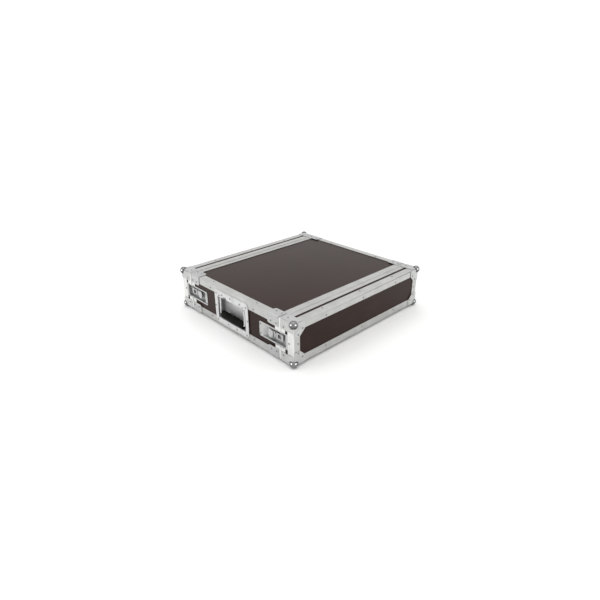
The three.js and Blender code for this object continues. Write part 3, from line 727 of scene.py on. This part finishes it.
# %% [markdown]
# ## Butterfly latches
# Each latch is five pressings: dish, rotor, wing, hook and keeper. Their exact plays let the latch turn
# without a clash, so their CAD shapes are kept, and only their edges change. A deep-drawn dish has a
# generous radius at its rim, the small moving pieces a finer one. Painted shade deepens towards the
# pocket's bottom and leaves its upper quarter unshaded.

# %% Latches
LATCH_RADII = {"dish": 0.5, "keeper": 0.5, "rotor": 0.25, "wing": 0.45, "hook": 0.35}
# painted shade in the latch pockets grows with depth below the board's outer face
POCKET_DEPTH = 7.0
POCKET_UNSHADED = 0.25
POCKET_SHADE = 0.3
POCKET_POWER = 1.5


def pocket_painted_shade(mesh):
    """Marks how much painted shade each vertex gets by how deep it lies below the board's outer face."""
    painted_dark = mesh.attributes.new(PAINTED_SHADE_MAP, "FLOAT", "POINT")
    for vertex in mesh.vertices:
        depth = (BOARD_X * MM - abs(vertex.co.x)) / (POCKET_DEPTH * MM)
        share = min(max(depth - POCKET_UNSHADED, 0) / (1 - POCKET_UNSHADED), 1)
        painted_dark.data[vertex.index].value = POCKET_SHADE * share ** POCKET_POWER
    return mesh


for end in ENDS:
    for side in SIDES:
        for kind, radius in LATCH_RADII.items():
            node = f"latch_{kind}_{end}_{side}"
            pressing = pocket_painted_shade(softened(merged_copy(node), radius))
            finish_piece(f"{node}_pressing", pressing, zinc_finish, node)
print(len(ENDS) * len(SIDES) * len(LATCH_RADII), "latch pieces")

# %% [markdown]
# ## Drawn wire
# The bail, its pin and the spring are round wire. Curves do this well: a curve's bevel sweeps a circle
# along a path without pinching at the bends, and its end caps close it. The result is turned into a
# mesh, whose ends are then marked sharp so that smooth shading doesn't bleed over them.

# %% Wire helper
def rounded_path(points, radius, steps=8):
    """The open path with every inner corner round."""
    corners = zip(points, points[1:], points[2:])
    bends = [place for corner in corners for place in round_corner(*corner, radius, steps)]
    return [points[0], *bends, points[-1]]


def drawn_wire(points_mm, radius_mm, resolution=5):
    """A closed round wire along points in millimetres."""
    curve = bpy.data.curves.new("wire", "CURVE")
    curve.dimensions = "3D"
    curve.bevel_depth = radius_mm * MM
    curve.bevel_resolution = resolution
    curve.use_fill_caps = True
    spline = curve.splines.new("POLY")
    spline.points.add(len(points_mm) - 1)
    for point, place in zip(spline.points, points_mm):
        point.co = (*(Vector(place) * MM), 1)
    edit = bmesh.new()
    edit.from_mesh(evaluated(link("wire", curve)))
    bmesh.ops.remove_doubles(edit, verts=edit.verts, dist=0.001 * MM)
    mesh = as_mesh(edit, "wire", outward=True)
    mesh.shade_smooth()
    mesh.set_sharp_from_angle(angle=math.radians(50))
    return mesh


def joined(*meshes):
    """Puts closed meshes side by side in one mesh."""
    edit = bmesh.new()
    for mesh in meshes:
        edit.from_mesh(mesh)
    return as_mesh(edit, "joined")


# %% [markdown]
# ## Carrying handles
# The dish is drawn from sheet like the latch dishes. The bail is a bent rod: its two eyes turn on the pin,
# its arms run down and turn in through the grip. An eye is a short tube round the pin, made of four rings
# of vertices. The spring is a helix with two straight legs, one wire from end to end.

# %% Handle frame
PIVOT = Vector((-1.2, 0, 30))
GRIP = {"n": -2.6, "z": -23.0, "deep": 15.0, "tall": 19.0, "half_length": 50.0, "round": 5.0}
ROD_RADIUS = 2.75
ROD_AT = 53.05
ROD_N = -0.2
ROD_BEND = 7
EYE = {"inside": 2.55, "outside": 4.0, "from": 50.3, "to": 55.8, "arm_clear": 1, "edge": 0.4}
PIN_RADIUS = 2.2
DISH_EDGE = 0.5
SPRING = {"coil": 3.6, "wire": 0.7, "turns": 5, "pitch": 2.2, "y": 22, "leg": 9}
# painted shade on the deep end walls of a handle dish
WALL_DEPTH = 1.5
WALL_SHADE = 0.6
WALL_FACING = 0.7


def from_board(n, y, z):
    """A place on the right-hand side that is n outside the board, about the case's middle height."""
    return Vector((BOARD_X + n, y, z))


def eye_at(y_low, y_high, sides=32):
    """A tube round the pivot, closed at both ends by its own ring faces."""
    edit = bmesh.new()
    rings = []
    for radius, y in ((EYE["outside"], y_low), (EYE["outside"], y_high), (EYE["inside"], y_high),
                      (EYE["inside"], y_low)):
        ring = []
        for step in range(sides):
            angle = 2 * math.pi * step / sides
            offset = (PIVOT.x + radius * math.cos(angle), y, PIVOT.z + radius * math.sin(angle))
            ring.append(edit.verts.new(from_board(*offset) * MM))
        rings.append(ring)
    for one, other in zip(rings, rings[1:] + rings[:1]):
        bridge(edit, one, other)
    return softened(as_mesh(edit, "eye", outward=True), EYE["edge"])


def bail():
    eye_edge = PIVOT.z - EYE["inside"] - EYE["arm_clear"]
    lean = (ROD_N - PIVOT.x) / (GRIP["z"] - PIVOT.z)
    top_n = PIVOT.x + lean * (eye_edge - PIVOT.z)
    path = [from_board(top_n, ROD_AT, eye_edge), from_board(ROD_N, ROD_AT, GRIP["z"]),
            from_board(ROD_N, -ROD_AT, GRIP["z"]), from_board(top_n, -ROD_AT, eye_edge)]
    rod = drawn_wire(rounded_path(path, ROD_BEND), ROD_RADIUS)
    return joined(rod, eye_at(EYE["from"], EYE["to"]), eye_at(-EYE["to"], -EYE["from"]))


def spring(steps_per_turn=24):
    middle = from_board(PIVOT.x, 0, PIVOT.z)
    hang = Vector((-SPRING["coil"], 0, -SPRING["leg"]))
    points = [middle + hang + Vector((0, SPRING["y"], 0))]
    for step in range(SPRING["turns"] * steps_per_turn + 1):
        turn = math.pi + 2 * math.pi * step / steps_per_turn
        along = SPRING["y"] + SPRING["pitch"] * step / steps_per_turn
        across = Vector((math.cos(turn), 0, -math.sin(turn))) * SPRING["coil"]
        points.append(middle + across + Vector((0, along, 0)))
    points.append(middle + hang + Vector((0, SPRING["y"] + SPRING["turns"] * SPRING["pitch"], 0)))
    return drawn_wire(points, SPRING["wire"], 3)


def wall_painted_shade(mesh):
    """Marks the pocket's deep end walls, which get painted shade."""
    painted_dark = mesh.attributes.new(PAINTED_SHADE_MAP, "FLOAT", "FACE")
    for face in mesh.polygons:
        deep = abs(face.center.x) < (BOARD_X - WALL_DEPTH) * MM
        painted_dark.data[face.index].value = WALL_SHADE if deep and abs(face.normal.y) > WALL_FACING else 0
    return mesh


pin_low, pin_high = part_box("handle_pin_right")
pin_reach = (pin_high.y - pin_low.y) / 2 / MM
pin = drawn_wire([from_board(PIVOT.x, y, PIVOT.z) for y in (-pin_reach, pin_reach)], PIN_RADIUS, 8)
handle_parts = {
    "bail": (bail(), "rod", bail_finish),
    "pin": (pin, "wire", wire_finish),
    "spring": (spring(), "wire", wire_finish),
}
for side, sx in SIDES.items():
    for kind, (mesh, ending, finish) in handle_parts.items():
        node = f"handle_{kind}_{side}"
        finish_piece(f"{node}_{ending}", raised(mirrored(mesh, (sx, 1, 1)), middle_z), finish, node)
    node = f"handle_dish_{side}"
    dish = wall_painted_shade(softened(merged_copy(node), DISH_EDGE))
    finish_piece(f"{node}_pressing", dish, satin_finish, node)
print("handle bail", len(handle_parts["bail"][0].polygons), "faces")

# %% [markdown]
# ## Moulded grip
# The grip is a loft: one section, a rectangle with round corners, repeated along the rod. The mould
# leaves four shallow grooves along it, which are part of the section, and full round ends, which come
# from shrinking the last few sections along a quarter circle.

# %% Grips
GROOVE = {"depth": 0.7, "width": 1.1}
END_ROUND = 3.5
END_STEPS = 8
SECTION_STEPS = 14


def grip_section():
    """Points round the section, about its middle, with grooves near its four corners."""
    half_n, half_z, round_off = GRIP["deep"] / 2, GRIP["tall"] / 2, GRIP["round"]
    grooves = [(sn * half_n, sz * (half_z - round_off)) for sn in (-1, 1) for sz in (-1, 1)]
    arcs = list(round_corners(half_n, half_z, round_off, SECTION_STEPS))
    section = []
    for arc, following in zip(arcs, arcs[1:] + arcs[:1]):
        straight = [arc[-1].lerp(following[0], step / SECTION_STEPS) for step in range(1, SECTION_STEPS)]
        section += arc + straight
    for index, point in enumerate(section):
        nearest = min((point - Vector(groove)).length for groove in grooves)
        sink = GROOVE["depth"] * math.exp(-((nearest / GROOVE["width"]) ** 2))
        section[index] = Vector((point.x - math.copysign(sink, point.x), point.y))
    return section


def grip():
    section = grip_section()
    stations = []
    for step in range(END_STEPS + 1):
        angle = math.pi / 2 * step / END_STEPS
        stations.append((GRIP["half_length"] - END_ROUND * (1 - math.sin(angle)),
                         END_ROUND * (1 - math.cos(angle))))
    stations = [(-y, inset) for y, inset in reversed(stations)] + stations
    edit = bmesh.new()
    rings = []
    for y, inset in stations:
        shrink_n, shrink_z = 1 - inset / (GRIP["deep"] / 2), 1 - inset / (GRIP["tall"] / 2)
        ring = [edit.verts.new(from_board(GRIP["n"] + n * shrink_n, y, GRIP["z"] + z * shrink_z) * MM)
                for n, z in section]
        rings.append(ring)
    for one, other in zip(rings, rings[1:]):
        bridge(edit, one, other)
    edit.faces.new(rings[0])
    edit.faces.new(rings[-1])
    mesh = as_mesh(edit, "grip", outward=True)
    mesh.shade_smooth()
    mesh.set_sharp_from_angle(angle=math.radians(60))
    return mesh


moulding = grip()
for side, sx in SIDES.items():
    node = f"handle_grip_{side}"
    finish_piece(f"{node}_moulding", raised(mirrored(moulding, (sx, 1, 1)), middle_z), rubber_finish, node)
print("grip", len(moulding.polygons), "faces")

# %% [markdown]
# ## Rack rails
# The rails are folded steel with square holes for cage nuts. The powder coat that builds up on their
# edges leaves them about as round as the extrusions'.

# %% Rack rails
RAIL_EDGE = 0.3

for end in ENDS:
    for side in SIDES:
        node = f"{end}_rack_rail_{side}"
        finish_piece(f"{node}_folded", softened(merged_copy(node), RAIL_EDGE), rail_finish, node)
print("rails done")

# %% [markdown]
# ## Rivets, with Geometry Nodes
# Well over a hundred blind rivets hold this case together, and all of them are one rivet in two sizes. A
# node tree makes one head, a flattened dome with the hole that the pulled stem leaves, and sets it on
# every point of a small mesh of places. Each point carries the direction that its head faces. Fixed seeds
# turn, tip and scale the heads a little, as a hand-held gun does. Realize Instances turns them into real
# faces.

# %% The rivet tree
HEAD_SEGMENTS, HEAD_RINGS, STEM_SIDES = 24, 12, 16
CREASE_FROM = 0.7  # radians: the hole's edge is sharper, the dome's facets are not
TURN_SEED, SIZE_SEED = 7, 11
MOST_TIPPED = 0.03
LEAST_SCALE, MOST_SCALE = 0.96, 1.04
OUTWARD = "outward"


def rivet_tree():
    tree = bpy.data.node_groups.new("rivet_heads", "GeometryNodeTree")
    sockets = tree.interface
    sockets.new_socket("Places", in_out="INPUT", socket_type="NodeSocketGeometry")
    for name in ("Head Radius", "Head Height", "Stem Radius", "Stem Depth"):
        sockets.new_socket(name, in_out="INPUT", socket_type="NodeSocketFloat")
    sockets.new_socket("Finish", in_out="INPUT", socket_type="NodeSocketMaterial")
    sockets.new_socket("Heads", in_out="OUTPUT", socket_type="NodeSocketGeometry")

    def made(kind, inputs=None, **settings):
        """Adds a node and returns its outputs."""
        return add(tree, kind, inputs, **settings).outputs

    given = made("NodeGroupInput")
    round_head = {"Segments": HEAD_SEGMENTS, "Rings": HEAD_RINGS, "Radius": 1.0}
    dome = made("GeometryNodeMeshUVSphere", round_head)
    flat = {"X": given["Head Radius"], "Y": given["Head Radius"], "Z": given["Head Height"]}
    size = made("ShaderNodeCombineXYZ", flat)["Vector"]
    head = made("GeometryNodeTransform", {"Geometry": dome["Mesh"], "Scale": size})
    stem = made("GeometryNodeMeshCylinder",
                {"Vertices": STEM_SIDES, "Radius": given["Stem Radius"], "Depth": given["Head Height"]})
    # the drill is as long as the head is high, and its lower end goes one stem depth into the dome
    above = made("ShaderNodeMath", {0: given["Head Height"], 1: 1.5}, operation="MULTIPLY")
    lift = made("ShaderNodeMath", {0: above[0], 1: given["Stem Depth"]}, operation="SUBTRACT")
    up = made("ShaderNodeCombineXYZ", {"Z": lift[0]})["Vector"]
    drill = made("GeometryNodeTransform", {"Geometry": stem["Mesh"], "Translation": up})
    cut = {"Mesh 1": head["Geometry"], "Mesh 2": drill["Geometry"]}
    drilled = made("GeometryNodeMeshBoolean", cut, operation="DIFFERENCE", solver="EXACT")
    smooth = made("GeometryNodeSetShadeSmooth", {"Geometry": drilled["Mesh"]}, domain="FACE")
    angle = made("GeometryNodeInputMeshEdgeAngle")["Unsigned Angle"]
    crease = made("FunctionNodeCompare", {"A": angle, "B": CREASE_FROM}, operation="GREATER_THAN")
    sharp = made("GeometryNodeSetShadeSmooth",
                 {"Geometry": smooth["Geometry"], "Selection": crease["Result"],
                  "Shade Smooth": False}, domain="EDGE")
    facing = made("GeometryNodeInputNamedAttribute", {"Name": OUTWARD}, data_type="FLOAT_VECTOR")
    outward = {"Vector": facing["Attribute"]}
    aligned = made("FunctionNodeAlignRotationToVector", outward, axis="Z")
    turns = {"Seed": TURN_SEED, "Min": (0, 0, 0), "Max": (MOST_TIPPED, MOST_TIPPED, 2 * math.pi)}
    turn = made("FunctionNodeRandomValue", turns, data_type="FLOAT_VECTOR")
    loose = made("FunctionNodeEulerToRotation", {"Euler": turn["Value"]})
    turned = made("FunctionNodeRotateRotation",
                  {"Rotation": aligned["Rotation"], "Rotate By": loose["Rotation"]},
                  rotation_space="LOCAL")
    # this node keeps a plain number's limits in its inputs 2 and 3, and the number in its output 1
    scales = {"Seed": SIZE_SEED, 2: LEAST_SCALE, 3: MOST_SCALE}
    vary = made("FunctionNodeRandomValue", scales, data_type="FLOAT")
    set_on = made("GeometryNodeInstanceOnPoints",
                  {"Points": given["Places"], "Instance": sharp["Geometry"],
                   "Rotation": turned["Rotation"], "Scale": vary[1]})
    real = made("GeometryNodeRealizeInstances", {"Geometry": set_on["Instances"]})
    finished = made("GeometryNodeSetMaterial",
                    {"Geometry": real["Geometry"], "Material": given["Finish"]})
    made("NodeGroupOutput", {"Heads": finished["Geometry"]})
    return tree


rivets = rivet_tree()
print("rivet tree with", len(rivets.nodes), "nodes")

# %% [markdown]
# ## Where the rivets go
# The places follow the fittings. Plain angles have a rivet line 14 mm from their outer edge, plates have
# rivets near their free corners, and dishes have them round their flanges. A place is given once, in the
# positive corner, and mirrored, because the case is symmetrical. Rivets on a lid ride on that lid.

# %% Rivet places
RIVET_LINE = 14
SIZES = {
    "large": {"Head Radius": 2.7, "Head Height": 1.1, "Stem Radius": 1.25, "Stem Depth": 1.0},
    "small": {"Head Radius": 1.75, "Head Height": 0.8, "Stem Radius": 0.8, "Stem Depth": 0.7},
}
FACE_Y, SIDE_X, LEVEL_Z = out_y / MM, out_x / MM, out_z / MM
LINE_X, LINE_Y, LINE_Z = (SIDE_X - RIVET_LINE, FACE_Y - RIVET_LINE, LEVEL_Z - RIVET_LINE)
ON_SIDE, ON_FACE, ON_LEVEL = SIDE_X + PLATE_HIGH, FACE_Y + PLATE_HIGH, LEVEL_Z + PLATE_HIGH
ON_DISH = BOARD_X + PLATE_HIGH
# each place in the positive corner, the axis that its head faces along, and its size
LID_RIVETS = (
    # a lid's long bars
    ((0, FACE_Y, LINE_Z), DEPTH, "large"),
    ((0, LINE_Y, LEVEL_Z), HEIGHT, "large"),
    ((143, FACE_Y, LINE_Z), DEPTH, "large"),
    ((143, LINE_Y, LEVEL_Z), HEIGHT, "large"),
    # its upright bars
    ((SIDE_X - 15, FACE_Y, 0), DEPTH, "large"),
    ((SIDE_X, FACE_Y - 15.5, 0), WIDTH, "large"),
    # the petals of its ball corners
    ((ON_SIDE, 210, 39), WIDTH, "large"),
    ((LINE_X, 210, ON_LEVEL), HEIGHT, "large"),
    ((239.5, ON_FACE, 25.5), DEPTH, "large"),
    ((226, ON_FACE, 39), DEPTH, "large"),
    # its keepers
    ((ON_DISH, 207.5, 19.1), WIDTH, "small"),
)
BODY_RIVETS = (
    # the edge angles
    ((SIDE_X, 95, LINE_Z), WIDTH, "large"),
    ((LINE_X, 95, LEVEL_Z), HEIGHT, "large"),
    # the corner braces
    ((ON_SIDE, 164, 39.5), WIDTH, "large"),
    ((SIDE_X - 18, 164, ON_LEVEL), HEIGHT, "large"),
    ((ON_SIDE, 184, 39.5), WIDTH, "large"),
    ((SIDE_X - 18, 184, ON_LEVEL), HEIGHT, "large"),
    # the latch dishes
    ((ON_DISH, 120.8, 14), WIDTH, "large"),
    ((ON_DISH, 186, 19.1), WIDTH, "small"),
)
# depth and height of the rivets round a handle dish, which isn't the same above and below
ROUND_HANDLE = ((66, 38), (40, 38), (-39, 38), (-66, 38), (65, -43), (17, -43), (-22, -43), (-65, -43),
                (70, 0), (-70, 0))
OVER_HANDLE = (0, 41)
OVER_HANDLE_LIFT = 1  # this head stands that much higher than the others


def both_ways(*values):
    """Every sign of every value that isn't zero."""
    places = [()]
    for value in values:
        signed = (value,) if value == 0 else (value, -value)
        places = [(*place, choice) for place in places for choice in signed]
    return places


def mirrored_places(table):
    return [(place, axis, kind) for corner, axis, kind in table for place in both_ways(*corner)]


lid_places = mirrored_places(LID_RIVETS)
body_places = mirrored_places(BODY_RIVETS)
body_places += [((x, y, z), WIDTH, "large") for y, z in ROUND_HANDLE for x in (ON_SIDE, -ON_SIDE)]
lifted = ON_SIDE + OVER_HANDLE_LIFT
body_places += [((x, *OVER_HANDLE), WIDTH, "large") for x in (lifted, -lifted)]


def rivet_piece(name, places, size, body):
    """Turns places into rivet heads with the node tree, as a plain mesh that rides on the body."""
    mesh = bpy.data.meshes.new(name)
    mesh.from_pydata([Vector(place) * MM + Vector((0, 0, middle_z)) for place, _ in places], [], [])
    facing = mesh.attributes.new(OUTWARD, "FLOAT_VECTOR", "POINT")
    for index, (place, axis) in enumerate(places):
        outward = [0, 0, 0]
        outward[axis] = math.copysign(1, place[axis])
        facing.data[index].vector = outward
    worker = link("places", mesh)
    modifier = worker.modifiers.new("rivets", "NODES")
    modifier.node_group = rivets
    for item in rivets.interface.items_tree:
        if item.in_out == "INPUT" and item.name in size:
            modifier[item.identifier] = size[item.name] * MM
        elif item.in_out == "INPUT" and item.name == "Finish":
            modifier[item.identifier] = rivet_finish
    piece = link(name, evaluated(worker))
    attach(piece, body)
    print(name, len(places), "heads,", len(piece.data.polygons), "faces")


for size_name, size in SIZES.items():
    on_body = [(place, axis) for place, axis, kind in body_places if kind == size_name]
    rivet_piece(f"body_rivets_{size_name}", on_body, size, "case_body")
    on_lids = [(place, axis) for place, axis, kind in lid_places if kind == size_name]
    for end, sy in ENDS.items():
        on_lid = [(place, axis) for place, axis in on_lids if place[DEPTH] * sy > 0]
        rivet_piece(f"{end}_lid_rivets_{size_name}", on_lid, size, f"{end}_lid")

# %% [markdown]
# ## Floor and light
# The case stands on a plain white floor in a white room. Metal shows little but its surroundings, so the
# room decides how it looks: white at the horizon, a broad grey band above that, and brightest overhead. A
# small soft box on the left adds a little light from one side. The balls have two long boxes of their
# own for their bright spots: light linking keeps those off everything else, which would turn too pale.

# %% Floor
FLOOR_HALF = 30.0
FLOOR_GAP = 0.5 * MM


def floor_material():
    material, tree, place = new_material("white_paper_sweep", 0xF3F3F2, Roughness=0.9)
    return drawn(material, ramp(tree, noise(tree, place, 400), 0xF1F1F0, 0xF5F5F4))


floor_z = cad_low.z - FLOOR_GAP
floor_mesh = bpy.data.meshes.new("floor")
ring = [(x * FLOOR_HALF, y * FLOOR_HALF, floor_z) for x, y in ((-1, -1), (1, -1), (1, 1), (-1, 1))]
floor_mesh.from_pydata(ring, [], [(0, 1, 2, 3)])
floor_mesh.materials.append(floor_material())
link("floor", floor_mesh)

# %% Room and soft boxes
ROOM_STOPS = ((0.12, 1.12), (0.3, 0.84), (0.55, 0.84), (0.9, 1.7))  # height, and brightness there
SIDE_BOX = {"place": (-1.8, 0.5, 1.2), "size": (0.6, 0.6), "power": 3}
BALL_BOX = {"size": (1.6, 0.9), "power": 32}
BALL_BOX_PLACES = {"left": (-2.17, 0.77, 0.4), "front": (0.44, -2.27, 0.55)}

world = bpy.data.worlds.new("white_room")
scene.world = world
world.use_nodes = True
room = world.node_tree
direction = add(room, "ShaderNodeTexCoord").outputs["Generated"]
height = add(room, "ShaderNodeSeparateXYZ", {"Vector": direction}).outputs["Z"]
shade = add(room, "ShaderNodeValToRGB", {"Fac": height})
stops = shade.color_ramp.elements
stops[-1].position = ROOM_STOPS[-1][0]
for position, level in ROOM_STOPS[1:-1]:
    stops.new(position)
stops[0].position = ROOM_STOPS[0][0]
for stop, (position, level) in zip(stops, ROOM_STOPS):
    stop.color = (level, level, level, 1)
room.links.new(shade.outputs["Color"], room.nodes["Background"].inputs["Color"])


def soft_box(name, place, size, power):
    """An area light that points at the case."""
    light = bpy.data.lights.new(name, "AREA")
    light.shape = "RECTANGLE"
    light.size, light.size_y = size
    light.energy = power
    box = link(name, light)
    box.location = case_centre + Vector(place)
    box.rotation_euler = (case_centre - box.location).to_track_quat("-Z", "Y").to_euler()
    return box


polished = bpy.data.collections.new("polished_balls")
for item in scene.objects:
    if item.name.startswith("ball_corner") and item.name.endswith("_ball"):
        polished.objects.link(item)
for side, place in BALL_BOX_PLACES.items():
    box = soft_box(f"ball_box_{side}", place, **BALL_BOX)
    box.light_linking.receiver_collection = polished
soft_box("soft_box_left", **SIDE_BOX)
scene.view_settings.view_transform = "Standard"
